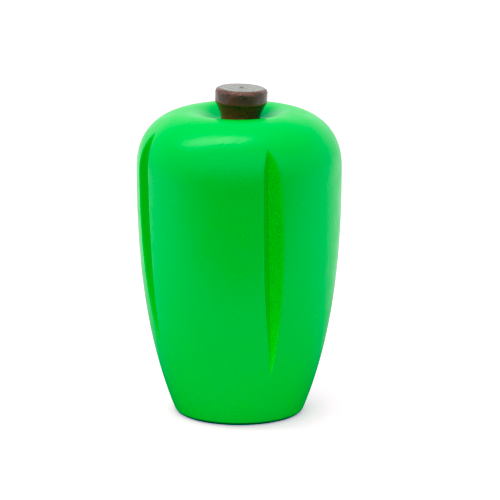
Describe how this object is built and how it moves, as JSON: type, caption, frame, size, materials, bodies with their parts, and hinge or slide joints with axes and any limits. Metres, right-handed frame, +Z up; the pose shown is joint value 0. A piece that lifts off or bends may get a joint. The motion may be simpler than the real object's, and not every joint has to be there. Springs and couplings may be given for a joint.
{
  "type": "wooden toy bell pepper",
  "caption": "Painted wooden play-food bell pepper that stands upright: a turned, tapering body with grooves up its sides and a short turned stem pegged into the dish in its top.",
  "frame": {"origin": "centre of the flat base face the toy stands on", "axes": "+Z up along the turning axis to the stem; three grooves lie on +X, +Y and -Y, the fourth 3.9 degrees from -X towards -Y, and -Y is the one facing right of centre in the picture"},
  "size_m": [0.0398, 0.0398, 0.0647],
  "materials": {
    "green_paint": "satin paint",
    "brown_paint": "gloss paint"
  },
  "bodies": {
    "root": {"body": "green_paint", "stem": "brown_paint"}
  },
  "joints": []
}
